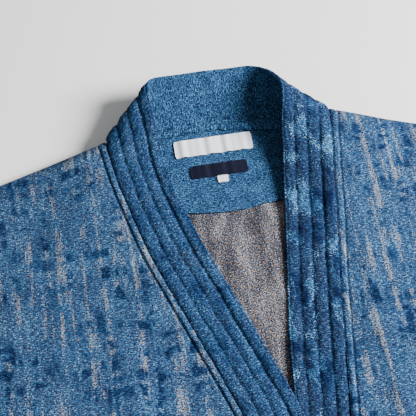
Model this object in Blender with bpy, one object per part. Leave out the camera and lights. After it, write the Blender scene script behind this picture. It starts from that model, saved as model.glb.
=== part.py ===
"""Haori shirt laid flat, face up, with its quilted neckband standing round the back neck.

Every cloth piece is a closed wall through sections worked out from the sizes below, in millimetres.
X runs to the wearer's left, Y from the hem to the collar, and Z up from the surface. The pattern is
drawn about the point half way between the two shoulder points of the neck, and the finished pieces
are moved so that the middle of their box stands on the origin.
"""

import bpy
import numpy as np

MM = 0.001
UP = np.array((0.0, 0.0, 1.0))

# Body
BODY_HALF = 300.0
HEM_Y = -740.0
NECK_HALF = 113.5
SHOULDER_TOP_RIGHT = 2.0
SHOULDER_TOP_LEFT = 6.0
SHOULDER_END_Y = -55.0
UNDERARM_Y = -300.0

# Sleeves
SLEEVE_LENGTH = 385.0
SLEEVE_TURN = np.radians(20.0)
CUFF_WIDTH = 200.0

# Walls and the gaps between them
BACK_WALL = 1.6
YOKE_WALL = 1.4
FRONT_WALL = 1.5
SLEEVE_WALL = 1.5
LABEL_WALL = 1.0
SEAM_GAP = 0.3
LAYER_GAP = 0.4

# Neckband: its plain inner face, and the four channels raised on the outer one
CHANNELS = 4
GROOVE_WALL = 1.9
CROWN_RISE = 1.6
BAND_STEP = 12.0
BAND_LONG_STEP = 34.0
BAND_NECK_REACH = -160.0
CROWN_SHAPE = (0.0, 0.3, 0.7)
INNER_CUTS = (1.0, 0.75, 0.5, 0.25, 0.0)

# Round the back neck the band bows outwards between its seam and its lip
BOW = 5.0
BOW_SECTIONS = 1.5
BOW_FADE = 2.0

# The band is sewn from three stretches, joined this many sections from the centre back
JOIN_SECTION = 9
JOIN_ROOM = 0.1

# Each row is a section across the band's inner face. Columns: seam x, y, z; folded lip x, y, z
SEAM = slice(0, 3)
LIP = slice(3, 6)
BAND_RIGHT = (
    (-7.0, 4.0, 4.8, -6.5, 57.0, 34.0),
    (-42.0, 2.5, 4.8, -33.0, 55.5, 35.0),
    (-78.0, 1.0, 5.4, -51.5, 55.5, 35.0),
    (-101.0, 1.5, 8.5, -61.5, 54.0, 35.0),
    (-113.0, 1.0, 14.5, -65.0, 48.0, 33.3),
    (-114.5, -9.0, 18.6, -65.0, 33.0, 31.0),
    (-113.5, -24.0, 18.4, -63.5, 14.0, 28.0),
    (-111.5, -42.0, 16.8, -62.0, -10.0, 24.0),
    (-107.5, -62.0, 15.0, -60.5, -37.0, 19.5),
    (-102.0, -84.0, 13.2, -55.5, -66.0, 15.2),
    (-95.0, -112.0, 11.4, -46.0, -97.0, 12.0),
    (-85.0, -146.0, 9.6, -36.5, -130.0, 10.2),
    (-56.0, -225.0, 7.4, -8.5, -208.0, 8.2),
    (-25.0, -312.0, 5.9, 21.5, -295.0, 6.6),
    (-14.5, -365.0, 5.9, 35.5, -354.0, 6.6),
    (-12.0, -430.0, 5.9, 39.0, -427.0, 6.4),
    (-12.0, -739.0, 5.9, 39.0, -739.0, 6.4),
)
BAND_LEFT = (
    (25.0, 0.0, 4.8, 20.0, 58.0, 32.0),
    (60.0, -5.5, 5.4, 42.0, 57.0, 33.0),
    (89.5, -4.0, 9.5, 56.0, 47.5, 37.0),
    (107.5, 3.0, 15.5, 64.5, 32.5, 41.0),
    (115.5, -2.0, 19.8, 68.0, 18.5, 41.5),
    (114.0, -21.0, 19.4, 66.0, 2.5, 36.0),
    (111.5, -44.0, 17.2, 63.5, -13.0, 24.5),
    (108.5, -62.0, 15.0, 61.0, -35.0, 16.0),
    (105.0, -86.0, 12.2, 56.5, -63.5, 9.5),
    (99.5, -124.0, 9.0, 50.0, -107.0, 5.4),
    (89.5, -180.0, 6.4, 39.5, -169.0, 3.6),
    (79.0, -248.0, 4.0, 28.0, -240.0, 2.6),
    (70.5, -305.0, 2.4, 21.0, -297.0, 2.5),
    (58.0, -385.0, 2.2, 8.0, -378.0, 2.2),
    (53.0, -450.0, 2.2, 2.0, -447.0, 2.2),
    (52.0, -739.0, 2.2, 1.0, -739.0, 2.2),
)
MIDDLE = len(BAND_RIGHT) - 1
BACK_ROWS = 4
BAND_STEP_PART = 0.02

# How far the back panel's upper edge stands off the surface, by distance from the middle
RISE_X = (0.0, 70.0, 90.0, 105.0, 113.5, 125.0, 160.0, 215.0, 300.0)
RISE_Z = (0.0, 0.1, 0.8, 2.2, 3.4, 3.4, 2.6, 1.6, 0.8)
RISE_DEPTH = 20.0

# The shoulder's soft fold in the fronts, by distance from the middle
RIDGE_X = (113.5, 125.0, 160.0, 215.0, 300.0)
RIDGE_Z = (18.6, 18.4, 13.6, 8.6, 4.4)
RIDGE_ROUND = 15.0
RIDGE_REACH = 85.0
RIDGE_EDGE = 0.08

# Where the fronts come down from the raised neckband
SEAM_FALL = 125.0
NECK_CLEARANCE = 3.2
NECK_CLEARANCE_REACH = 60.0
STRIP_WIDTH = 7.0
STRIP_RISE = 0.9
STRIP_BEVEL = 2.2

# Yoke facing
YOKE_DEPTH = 97.0
YOKE_SIDE_LIFT = 6.0
YOKE_HALF = 284.0
YOKE_MIDDLE_X = -4.0
YOKE_SIDE_REACH = 65.0
YOKE_ROWS = (0.34, 0.67, 1.0)
YOKE_COVER = 32.0
YOKE_SLOPE = 22.0
YOKE_SIDE_SLOPE = 12.0

# Soft ridges in the upper layers, which fade out near the neckband and the shoulder. Columns:
# start, end, height, half width
SWELL_FADE_ACROSS = 40.0
SWELL_FADE_DOWN = 60.0
SWELL_END = 0.25
SWELL_TAPER = 0.4
SWELL_SPREAD = 1.6
RIDGES = (
    ((-150.0, -60.0), (-210.0, -330.0), 2.2, 26.0),
    ((-205.0, -300.0), (-175.0, -560.0), 1.8, 30.0),
    ((-85.0, -300.0), (-95.0, -640.0), 1.5, 26.0),
    ((-262.0, -330.0), (-245.0, -520.0), 1.6, 20.0),
    ((150.0, -70.0), (188.0, -340.0), 2.4, 27.0),
    ((215.0, -290.0), (180.0, -600.0), 1.9, 30.0),
    ((110.0, -380.0), (118.0, -690.0), 1.5, 25.0),
    ((266.0, -340.0), (250.0, -560.0), 1.6, 19.0),
    ((-330.0, -250.0), (-470.0, -200.0), 2.0, 22.0),
    ((-380.0, -150.0), (-560.0, -240.0), 1.7, 24.0),
    ((330.0, -255.0), (455.0, -215.0), 2.0, 22.0),
    ((370.0, -140.0), (570.0, -230.0), 1.7, 25.0),
)

# Labels on the yoke. Columns: left, right, upper edge, lower edge, height of the buckles
LABELS = {
    "main_label": (-47.5, 33.5, -7.2, -27.6, 0.5),
    "origin_label": (-35.0, 23.5, -39.6, -54.6, 0.35),
    "size_tab": (-9.0, 2.0, -55.0, -62.8, 0.0),
}
LABEL_TURN = np.radians(0.8)
LABEL_WAVES = 5.0
LABEL_COLUMNS = 17

# The fold along a sleeve's two edges. Columns: reach out, height of the wall, height of the hollow
FOLD_REACH = 3.0
FOLD_WALL = 1.2
FOLD_TURN_WALL = 1.7
SLEEVE_FOLD = ((2.2, 2.6, 1.8), (FOLD_REACH, 1.7, 1.7), (2.2, 0.7, 1.6))

# Sections of the panels
SHOULDER_COLUMNS = (121.0, 124.5, 140.0, 160.0, 185.0, 215.0, 250.0, 284.0, 300.0)
EDGE_DEPTHS = (0.4, 3.0, 6.5, 11.0, 16.0, 22.0)
BACK_LOWER_ROWS = 14
SLEEVE_STATIONS = 13
SLEEVE_COLUMNS = 9

COLOURS = {
    "face": (0.20, 0.25, 0.34),
    "inner": (0.13, 0.17, 0.26),
    "white": (0.78, 0.78, 0.76),
    "navy": (0.02, 0.03, 0.07),
}


def ease(value):
    """Turn 0 to 1 into a soft step."""
    t = np.clip(value, 0.0, 1.0)
    return t * t * (3.0 - 2.0 * t)


def through(rows, place):
    """Give the smooth curve through a table's rows, at a fractional row number."""
    last = len(rows) - 1
    first = int(min(max(np.floor(place), 0), last - 1))
    t = place - first
    before, start = rows[max(first - 1, 0)], rows[first]
    end, after = rows[first + 1], rows[min(first + 2, last)]
    leave, arrive = (end - before) / 2.0, (after - start) / 2.0
    return ((2 * t**3 - 3 * t**2 + 1) * start + (t**3 - 2 * t**2 + t) * leave
            + (3 * t**2 - 2 * t**3) * end + (t**3 - t**2) * arrive)


def band_rows():
    """Give the neckband's sections in one run, from the right hem round the neck to the left hem."""
    return np.array(BAND_RIGHT[::-1] + BAND_LEFT)


def band_places(rows):
    """Give row numbers along the neckband, closer together in the short sections at the neck."""
    places = []
    for row in range(len(rows) - 1):
        run = max(np.linalg.norm((rows[row + 1] - rows[row])[part]) for part in (SEAM, LIP))
        by_neck = max(rows[row][1], rows[row + 1][1]) > BAND_NECK_REACH
        cuts = max(2, int(np.ceil(run / (BAND_STEP if by_neck else BAND_LONG_STEP))))
        places += [row + cut / cuts for cut in range(cuts)]
    return places + [len(rows) - 1.0]


def band_point(rows, place, across, lift):
    """Give a point of the neckband, lifted off its plain inner face along the wall's normal."""
    here = through(rows, place)
    behind = through(rows, max(place - BAND_STEP_PART, 0.0))
    ahead = through(rows, min(place + BAND_STEP_PART, len(rows) - 1.0))
    along = (ahead - behind)[SEAM] * (1.0 - across) + (ahead - behind)[LIP] * across
    normal = np.cross(here[LIP] - here[SEAM], along)
    normal /= np.linalg.norm(normal)
    bow = BOW * (1.0 - ease((abs(place - MIDDLE) - BOW_SECTIONS) / BOW_FADE))
    lift = lift + 4.0 * across * (1.0 - across) * bow
    return here[SEAM] * (1.0 - across) + here[LIP] * across + normal * lift


def shoulder_y(x):
    """Give the shoulder line's place at a distance from the middle."""
    top = SHOULDER_TOP_LEFT if x > 0 else SHOULDER_TOP_RIGHT
    return top + (SHOULDER_END_Y - top) * (abs(x) - NECK_HALF) / (BODY_HALF - NECK_HALF)


def rise(x):
    """Give the height of the back panel's upper edge."""
    return np.interp(abs(x), RISE_X, RISE_Z)


def back_bottom(x, depth):
    """Give the back panel's underside at a depth below its upper edge: flat but for that edge."""
    return rise(x) * np.clip(1.0 - depth / RISE_DEPTH, 0.0, 1.0) ** 2


def swell(x, y):
    """Give the height of the soft ridges in the upper layers."""
    total = 0.0
    for start, end, height, half_width in RIDGES:
        start, end, here = np.array(start), np.array(end), np.array((x, y))
        run = end - start
        along = np.clip(np.dot(here - start, run) / np.dot(run, run), -SWELL_END, 1.0 + SWELL_END)
        side = np.linalg.norm(here - start - along * run)
        taper = ease((along + SWELL_END) / SWELL_TAPER)
        taper *= ease((1.0 + SWELL_END - along) / SWELL_TAPER)
        total += height * taper * (1.0 - ease(side / (SWELL_SPREAD * half_width)))
    return total


def front_base(x, y):
    """Give the lowest underside of the fronts: over the back panel, and higher over the yoke."""
    over_yoke = ease((y + YOKE_DEPTH + YOKE_COVER) / YOKE_SLOPE)
    over_yoke *= 1.0 - ease((abs(x) - YOKE_HALF) / YOKE_SIDE_SLOPE)
    return BACK_WALL + LAYER_GAP + over_yoke * (YOKE_WALL + LAYER_GAP)


def wall_object(name, colour, roughness, outer, inner, closed_ring=False):
    """Build one closed wall from a grid of outer points and a grid of inner points."""
    rows, columns = outer.shape[:2]
    points = np.concatenate((outer.reshape(-1, 3), inner.reshape(-1, 3)))
    half = rows * columns

    def corner(row, column):
        return row * columns + column % columns

    faces = []
    spans = columns if closed_ring else columns - 1
    for row in range(rows - 1):
        for column in range(spans):
            quad = (corner(row, column), corner(row, column + 1),
                    corner(row + 1, column + 1), corner(row + 1, column))
            faces.append(quad)
            faces.append(tuple(half + index for index in reversed(quad)))
    for column in range(spans):
        for row, turn in ((0, -1), (rows - 1, 1)):
            a, b = corner(row, column), corner(row, column + 1)
            faces.append((a, b, half + b, half + a)[::turn])
    if not closed_ring:
        for row in range(rows - 1):
            for column, turn in ((0, 1), (columns - 1, -1)):
                a, b = corner(row, column), corner(row + 1, column)
                faces.append((a, b, half + b, half + a)[::turn])
    return mesh_object(name, colour, roughness, points, faces)


def mesh_object(name, colour, roughness, points, faces):
    """Make one named object from points in millimetres, with its own material."""
    mesh = bpy.data.meshes.new(name)
    mesh.from_pydata((points * MM).tolist(), [], faces)
    mesh.validate()
    mesh.update()
    mesh.shade_smooth()
    mesh.set_sharp_from_angle(angle=np.radians(50.0))
    material = bpy.data.materials.new(name)
    material.use_nodes = True
    shader = material.node_tree.nodes["Principled BSDF"]
    shader.inputs["Base Color"].default_value = (*COLOURS[colour], 1.0)
    shader.inputs["Roughness"].default_value = roughness
    shader.inputs["Metallic"].default_value = 0.0
    mesh.materials.append(material)
    piece = bpy.data.objects.new(name, mesh)
    bpy.context.scene.collection.objects.link(piece)
    return piece


def ring_object(name, colour, roughness, rings):
    """Build one closed solid from a run of rings, with a cap on each end."""
    count = rings.shape[1]
    faces = []
    for row in range(len(rings) - 1):
        for column in range(count):
            after = (column + 1) % count
            faces.append((row * count + column, row * count + after,
                          (row + 1) * count + after, (row + 1) * count + column))
    faces.append(tuple(reversed(range(count))))
    faces.append(tuple((len(rings) - 1) * count + index for index in range(count)))
    return mesh_object(name, colour, roughness, rings.reshape(-1, 3), faces)


def band_stretch(name, first, last):
    """Build one stretch of the band: four raised channels outside, a plain face inside."""
    rows = band_rows()
    section = [((channel + shape) / CHANNELS, GROOVE_WALL + (CROWN_RISE if shape else 0.0))
               for channel in range(CHANNELS) for shape in CROWN_SHAPE]
    section.append((1.0, GROOVE_WALL))
    section += [(across, 0.0) for across in INNER_CUTS]
    within = [place for place in band_places(rows) if first + JOIN_ROOM < place < last - JOIN_ROOM]
    rings = [[band_point(rows, place, across, lift) for across, lift in section]
             for place in [first, *within, last]]
    return ring_object(name, "face", 0.9, np.array(rings))


def join_gap(rows, join):
    """Give half of a seam's gap at a join in the band, in rows."""
    step = through(rows, join + 0.5) - through(rows, join - 0.5)
    return SEAM_GAP / 2.0 / min(np.linalg.norm(step[part]) for part in (SEAM, LIP))


def neckband():
    """Build the quilted band's stretches: up the right front, round the neck, down the left."""
    rows = band_rows()
    right, left = MIDDLE - JOIN_SECTION, MIDDLE + JOIN_SECTION
    right_gap, left_gap = join_gap(rows, right), join_gap(rows, left)
    return [band_stretch("neckband_right", 0.0, right - right_gap),
            band_stretch("neckband_neck", right + right_gap, left - left_gap),
            band_stretch("neckband_left", left + left_gap, len(rows) - 1.0)]


def neck_edge(rows, side):
    """Give the band's seam along one half of the back neck, from the middle to the shoulder."""
    places = np.linspace(0.0, BACK_ROWS, 2 * BACK_ROWS + 1)[:-1]
    return [through(rows, MIDDLE + side * place)[:2] for place in places]


def back_columns():
    """Give each column of the back panel as a place across and the height of its upper edge."""
    rows = band_rows()
    left = [tuple(point) for point in neck_edge(rows, 1)]
    right = [tuple(point) for point in neck_edge(rows, -1)][1:]
    neck = sorted(right + left)
    columns = (NECK_HALF,) + SHOULDER_COLUMNS
    return ([(-x, shoulder_y(-x)) for x in reversed(columns)] + neck
            + [(x, shoulder_y(x)) for x in columns])


def back():
    """Build the back panel, flat underneath but for its upper edge."""
    lower = []
    for x, top in back_columns():
        column = [(x, top - depth, back_bottom(x, depth)) for depth in EDGE_DEPTHS]
        start = top - EDGE_DEPTHS[-1]
        for row in range(1, BACK_LOWER_ROWS + 1):
            part = row / BACK_LOWER_ROWS
            column.append((x, start + (HEM_Y - start) * part, 0.0))
        lower.append(column)
    lower = np.array(lower)
    return wall_object("back", "inner", 0.9, lower + UP * BACK_WALL, lower)


def yoke_lower_edge(x):
    """Give the lower edge of the yoke facing, a little higher at the sides."""
    return -YOKE_DEPTH + YOKE_SIDE_LIFT * ease(abs(x - YOKE_MIDDLE_X) / YOKE_SIDE_REACH)


def yoke_bottom(x, depth):
    """Give the underside of the yoke facing, which lies on the back panel."""
    return back_bottom(x, depth) + BACK_WALL + SEAM_GAP


def back_yoke():
    """Build the yoke facing on the inside of the back panel."""
    lower = []
    for x, top in back_columns():
        if abs(x) > YOKE_HALF:
            continue
        column = [(x, top - depth, yoke_bottom(x, depth)) for depth in EDGE_DEPTHS]
        start, end = top - EDGE_DEPTHS[-1], yoke_lower_edge(x)
        for part in YOKE_ROWS:
            column.append((x, start + (end - start) * part, yoke_bottom(x, RISE_DEPTH)))
        lower.append(column)
    lower = np.array(lower)
    return wall_object("back_yoke", "inner", 0.9, lower + UP * YOKE_WALL, lower)


def front_rows(side):
    """Give the seam end, the side end and the depth of each row of a front, shoulder to hem."""
    rows = band_rows()
    places = [place for place in band_places(rows) if side * (place - MIDDLE) > BACK_ROWS + 0.3]
    seams = [through(rows, place)[SEAM] for place in places[::side]]
    steps = [np.linalg.norm(after - before) for before, after in zip(seams, seams[1:])]
    depths = np.concatenate(([0.0], np.cumsum(steps)))
    top = SHOULDER_END_Y - EDGE_DEPTHS[0]
    return [(seam, np.array((side * BODY_HALF, top + (HEM_Y - top) * depth / depths[-1])), depth)
            for seam, depth in zip(seams, depths)]


def front(name, side):
    """Build one front, which comes down from the raised neckband onto the back panel."""
    lower, upper = [], []
    for seam, edge, depth in front_rows(side):
        low, high = [], []
        clear = NECK_CLEARANCE * (1.0 - ease(depth / NECK_CLEARANCE_REACH))
        start = seam[0] + side * (SEAM_GAP + clear)
        inset = [0.0, STRIP_WIDTH, STRIP_WIDTH + STRIP_BEVEL]
        rest = [(x - SHOULDER_COLUMNS[1]) / (BODY_HALF - SHOULDER_COLUMNS[1])
                for x in SHOULDER_COLUMNS[2:]]
        run = abs(edge[0] - start)
        distances = inset + [inset[-1] + (run - inset[-1]) * part for part in rest]
        for index, distance in enumerate(distances):
            part = distance / run
            x = start + side * distance
            y = seam[1] + (edge[1] - seam[1]) * part
            fade = ease(distance / SWELL_FADE_ACROSS) * ease(depth / SWELL_FADE_DOWN)
            flat = front_base(x, y) + swell(x, y) * fade
            lift = max(seam[2] - flat, 0.0) * (1.0 - ease(distance / SEAM_FALL))
            fold = np.interp(abs(x), RIDGE_X, RIDGE_Z) - flat
            height = flat + max(lift, fold * (1.0 - ease(depth / RIDGE_REACH)))
            shoulder = rise(x) + BACK_WALL + YOKE_WALL + SEAM_GAP + LAYER_GAP
            curl = np.sqrt(1.0 - (1.0 - min(depth / RIDGE_ROUND, 1.0)) ** 2)
            height = shoulder + (max(height, shoulder) - shoulder) * max(curl, RIDGE_EDGE)
            strip = STRIP_RISE if index < 2 else 0.0
            low.append((x, y, height))
            high.append((x, y, height + FRONT_WALL + strip))
        lower.append(low)
        upper.append(high)
    lower, upper = np.array(lower), np.array(upper)
    if side > 0:
        lower, upper = lower[::-1], upper[::-1]
    return wall_object(name, "face", 0.9, upper, lower)


def sleeve_fold(edge, across, turn):
    """Give the outer and inner points round one of a sleeve's folded edges."""
    outer, inner = [], []
    for reach, wall_z, hollow_z in SLEEVE_FOLD[::turn]:
        spot = edge + across * turn * (reach - FOLD_REACH)
        wall = FOLD_TURN_WALL if reach == FOLD_REACH else FOLD_WALL
        outer.append((*spot, wall_z))
        inner.append((*(spot - across * turn * wall), hollow_z))
    return outer, inner


def sleeve(name, side):
    """Build one sleeve as a flattened tube, open at the armhole and at the cuff."""
    outward = np.array((side * np.cos(SLEEVE_TURN), -np.sin(SLEEVE_TURN)))
    down = np.array((-side * np.sin(SLEEVE_TURN), -np.cos(SLEEVE_TURN)))
    top_start = np.array((side * (BODY_HALF + SEAM_GAP), SHOULDER_END_Y))
    low_start = np.array((side * (BODY_HALF + SEAM_GAP), UNDERARM_Y))
    top_end = top_start + outward * SLEEVE_LENGTH
    low_end = top_end + down * CUFF_WIDTH
    hollow = 2.0 * SLEEVE_WALL + LAYER_GAP
    outer, inner = [], []
    for part in np.linspace(0.0, 1.0, SLEEVE_STATIONS):
        top, low = top_start + (top_end - top_start) * part, low_start + (low_end - low_start) * part
        width = np.linalg.norm(low - top)
        across = (low - top) / width
        insets = np.linspace(FOLD_REACH, width - FOLD_REACH, SLEEVE_COLUMNS)
        spots = [top + across * inset for inset in insets]
        soft = [swell(*spot) * ease(column / 2.0) * ease((SLEEVE_COLUMNS - 1 - column) / 2.0)
                for column, spot in enumerate(spots)]
        upper = [(*spot, hollow + lift) for spot, lift in zip(spots, soft)]
        upper_inside = [(*spot, hollow - SLEEVE_WALL + lift) for spot, lift in zip(spots, soft)]
        low_outer, low_inner = sleeve_fold(low, across, 1)
        top_outer, top_inner = sleeve_fold(top, across, -1)
        under = [(*spot, 0.0) for spot in reversed(spots)]
        under_inside = [(*spot, SLEEVE_WALL) for spot in reversed(spots)]
        outer.append(upper + low_outer + under + top_outer)
        inner.append(upper_inside + low_inner + under_inside + top_inner)
    outer, inner = np.array(outer), np.array(inner)
    if side < 0:
        outer, inner = outer[::-1], inner[::-1]
    return wall_object(name, "face", 0.9, outer, inner, closed_ring=True)


def label(name):
    """Build one label, which lies on the yoke facing with a slight buckle."""
    left, right, top, bottom, buckle = LABELS[name]
    bottom_z = BACK_WALL + YOKE_WALL + 2.0 * SEAM_GAP
    lower = []
    for part in np.linspace(0.0, 1.0, LABEL_COLUMNS if buckle else 3):
        x = left + (right - left) * part
        z = bottom_z + buckle * (1.0 - np.cos(2.0 * np.pi * LABEL_WAVES * part))
        lower.append([(x, y + x * np.sin(LABEL_TURN), z) for y in (top, (top + bottom) / 2.0, bottom)])
    lower = np.array(lower)
    colour = "navy" if name == "origin_label" else "white"
    return wall_object(name, colour, 0.7, lower + UP * LABEL_WALL, lower)


def stand_on_origin(pieces):
    """Move the finished pieces so that the middle of their box stands on the origin."""
    points = np.concatenate([np.array([tuple(v.co) for v in piece.data.vertices]) for piece in pieces])
    low, high = points.min(axis=0), points.max(axis=0)
    shift = np.array((-(low[0] + high[0]) / 2.0, -(low[1] + high[1]) / 2.0, -low[2]))
    for piece in pieces:
        for vertex in piece.data.vertices:
            vertex.co = [value + move for value, move in zip(vertex.co, shift)]


def main():
    for old in list(bpy.data.objects):
        bpy.data.objects.remove(old, do_unlink=True)
    pieces = [back(), back_yoke(), front("front_right", -1), front("front_left", 1),
              sleeve("sleeve_right", -1), sleeve("sleeve_left", 1)]
    pieces += neckband() + [label(name) for name in LABELS]
    stand_on_origin(pieces)


main()
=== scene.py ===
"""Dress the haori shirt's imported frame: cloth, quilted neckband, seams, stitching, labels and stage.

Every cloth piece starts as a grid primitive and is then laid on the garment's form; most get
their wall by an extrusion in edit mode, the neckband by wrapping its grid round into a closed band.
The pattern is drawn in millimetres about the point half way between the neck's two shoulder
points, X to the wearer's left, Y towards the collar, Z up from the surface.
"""

import bpy
import numpy as np
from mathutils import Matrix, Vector


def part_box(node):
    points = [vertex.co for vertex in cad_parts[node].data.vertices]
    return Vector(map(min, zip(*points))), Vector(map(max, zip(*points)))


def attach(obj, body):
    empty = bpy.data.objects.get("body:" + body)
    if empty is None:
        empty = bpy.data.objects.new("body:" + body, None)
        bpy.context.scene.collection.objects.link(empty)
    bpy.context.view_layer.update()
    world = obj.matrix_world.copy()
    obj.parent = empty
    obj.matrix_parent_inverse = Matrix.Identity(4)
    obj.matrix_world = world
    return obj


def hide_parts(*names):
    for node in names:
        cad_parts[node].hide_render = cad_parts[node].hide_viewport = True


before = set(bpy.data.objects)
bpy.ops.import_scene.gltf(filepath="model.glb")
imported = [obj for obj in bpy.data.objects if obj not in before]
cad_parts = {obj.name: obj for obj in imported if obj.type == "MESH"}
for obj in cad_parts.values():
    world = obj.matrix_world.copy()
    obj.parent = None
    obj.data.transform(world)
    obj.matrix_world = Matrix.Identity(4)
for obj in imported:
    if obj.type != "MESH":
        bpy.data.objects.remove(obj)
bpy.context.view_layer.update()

bl_info = {
    "name": "Haori shirt laid flat",
    "version": (1, 0, 0),
    "blender": (4, 5, 0),
    "location": "3D View > Sidebar > Haori",
    "description": "Dresses a haori shirt's frame in jacquard cloth, a quilted neckband and labels",
    "category": "Add Mesh",
}

MM = 0.001

# Body and sleeves
BODY_HALF = 300.0
HEM_Y = -740.0
NECK_HALF = 113.5
SHOULDER_TOP_RIGHT = 2.0
SHOULDER_TOP_LEFT = 6.0
SHOULDER_END_Y = -55.0
UNDERARM_Y = -300.0
SLEEVE_LENGTH = 385.0
SLEEVE_TURN = np.radians(20.0)
CUFF_WIDTH = 200.0

# Walls and the gaps between layers
BACK_WALL = 1.6
YOKE_WALL = 1.4
FRONT_WALL = 1.5
SLEEVE_WALL = 1.5
SEAM_GAP = 0.3
LAYER_GAP = 0.4

# Each row is a section across the band's inner face. Columns: seam x, y, z; folded lip x, y, z
SEAM = slice(0, 3)
LIP = slice(3, 6)
BAND_RIGHT = (
    (-7.0, 4.0, 4.8, -6.5, 57.0, 34.0),
    (-42.0, 2.5, 4.8, -33.0, 55.5, 35.0),
    (-78.0, 1.0, 5.4, -51.5, 55.5, 35.0),
    (-101.0, 1.5, 8.5, -61.5, 54.0, 35.0),
    (-113.0, 1.0, 14.5, -65.0, 48.0, 33.3),
    (-114.5, -9.0, 18.6, -65.0, 33.0, 31.0),
    (-113.5, -24.0, 18.4, -63.5, 14.0, 28.0),
    (-111.5, -42.0, 16.8, -62.0, -10.0, 24.0),
    (-107.5, -62.0, 15.0, -60.5, -37.0, 19.5),
    (-102.0, -84.0, 13.2, -55.5, -66.0, 15.2),
    (-95.0, -112.0, 11.4, -46.0, -97.0, 12.0),
    (-85.0, -146.0, 9.6, -36.5, -130.0, 10.2),
    (-56.0, -225.0, 7.4, -8.5, -208.0, 8.2),
    (-25.0, -312.0, 5.9, 21.5, -295.0, 6.6),
    (-14.5, -365.0, 5.9, 35.5, -354.0, 6.6),
    (-12.0, -430.0, 5.9, 39.0, -427.0, 6.4),
    (-12.0, -739.0, 5.9, 39.0, -739.0, 6.4),
)
BAND_LEFT = (
    (25.0, 0.0, 4.8, 20.0, 58.0, 32.0),
    (60.0, -5.5, 5.4, 42.0, 57.0, 33.0),
    (89.5, -4.0, 9.5, 56.0, 47.5, 37.0),
    (107.5, 3.0, 15.5, 64.5, 32.5, 41.0),
    (115.5, -2.0, 19.8, 68.0, 18.5, 41.5),
    (114.0, -21.0, 19.4, 66.0, 2.5, 36.0),
    (111.5, -44.0, 17.2, 63.5, -13.0, 24.5),
    (108.5, -62.0, 15.0, 61.0, -35.0, 16.0),
    (105.0, -86.0, 12.2, 56.5, -63.5, 9.5),
    (99.5, -124.0, 9.0, 50.0, -107.0, 5.4),
    (89.5, -180.0, 6.4, 39.5, -169.0, 3.6),
    (79.0, -248.0, 4.0, 28.0, -240.0, 2.6),
    (70.5, -305.0, 2.4, 21.0, -297.0, 2.5),
    (58.0, -385.0, 2.2, 8.0, -378.0, 2.2),
    (53.0, -450.0, 2.2, 2.0, -447.0, 2.2),
    (52.0, -739.0, 2.2, 1.0, -739.0, 2.2),
)
BAND_ROWS = np.array(BAND_RIGHT[::-1] + BAND_LEFT)
BAND_MIDDLE = len(BAND_RIGHT) - 1
BACK_ROWS = 4
CHANNELS = 4
BAND_WIDE = 51.0
LIP_STITCH = 2.6
NECK_LAP = 3.2

# Outward bow of the standing band, held over some sections from the centre back, then faded
BOW = 5.0
BOW_SECTIONS = 1.5
BOW_FADE = 2.0

# Depth of each stitched groove, from the seam to the lip's channel, on the two halves of the band,
# which blend round the back neck; the gathers' reach beside a groove; and the band's least wall
GROOVES = {-1: (1.2, 0.95, 0.9, 1.9), 1: (1.5, 1.5, 0.95, 0.95)}
BLEND_HALF = 90.0
GATHER_REACH = 4.5
LEAST_WALL = 1.2

# Shoulder: the back's upper edge, and the soft fold in the fronts
RISE_X = (0.0, 70.0, 90.0, 105.0, 113.5, 125.0, 160.0, 215.0, 300.0)
RISE_Z = (0.0, 0.1, 0.8, 2.2, 3.4, 3.4, 2.6, 1.6, 0.8)
RISE_DEPTH = 20.0
RIDGE_X = (113.5, 125.0, 160.0, 215.0, 300.0)
RIDGE_Z = (18.6, 18.4, 13.6, 8.6, 4.4)
RIDGE_ROUND = 15.0
RIDGE_REACH = 85.0
SEAM_FALL = 125.0
NECK_CLEARANCE = 2.2
NECK_CLEARANCE_REACH = 45.0

# Felled strip beside the neckband
STRIP_WIDTH = 6.6
STRIP_RISE = 1.0

# Yoke facing
YOKE_DEPTH = 97.0
YOKE_SIDE_LIFT = 6.0
YOKE_HALF = 284.0
YOKE_MIDDLE_X = -4.0
YOKE_STITCH = 6.5

# The back and its facing run on under the band by this much, so that the neck seam is closed
TUCK = 3.0
TUCK_HALF = 88.0
TUCK_FADE = 16.0

# Topstitching on the fronts, from the shoulder line, the armhole and the hem
SHOULDER_STITCH = 7.0
ARM_STITCH = 6.0
ARM_STITCH_DEPTH = 270.0
STITCH_GROOVE = 0.5
HEM_GROOVE = 0.4
STITCH_SUNK = 0.42
STITCH_LIFT = 0.05

# Soft ridges in the upper layers, and in the back's inside within the neck opening
RIDGES = (
    ((-150.0, -60.0), (-210.0, -330.0), 2.2, 26.0),
    ((-205.0, -300.0), (-175.0, -560.0), 1.8, 30.0),
    ((-85.0, -300.0), (-95.0, -640.0), 1.5, 26.0),
    ((-262.0, -330.0), (-245.0, -520.0), 1.6, 20.0),
    ((150.0, -70.0), (188.0, -340.0), 2.4, 27.0),
    ((215.0, -290.0), (180.0, -600.0), 1.9, 30.0),
    ((110.0, -380.0), (118.0, -690.0), 1.5, 25.0),
    ((266.0, -340.0), (250.0, -560.0), 1.6, 19.0),
    ((-330.0, -250.0), (-470.0, -200.0), 2.0, 22.0),
    ((-380.0, -150.0), (-560.0, -240.0), 1.7, 24.0),
    ((330.0, -255.0), (455.0, -215.0), 2.0, 22.0),
    ((370.0, -140.0), (570.0, -230.0), 1.7, 25.0),
)
BACK_RIDGES = (
    ((30.0, -104.0), (33.0, -225.0), 2.3, 15.0),
    ((-16.0, -106.0), (2.0, -215.0), 1.7, 13.0),
)

# Labels on the yoke: left, right, upper and lower edges, and the height of their buckles
LABELS = {
    "main_label": (-47.5, 33.5, -7.2, -27.6, 0.5),
    "origin_label": (-35.0, 23.5, -39.6, -54.6, 0.3),
    "size_tab": (-9.0, 2.0, -52.4, -62.8, 0.15),
}
LABEL_TURN = 0.8
LABEL_Z = 4.1
LABEL_WALL = 0.55

# Places of pieces on the cloth, so that each shows another part of its pattern
FRONT_MAP = 700.0
SLEEVE_MAP = 300.0
INNER_MAP = 60.0

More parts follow.
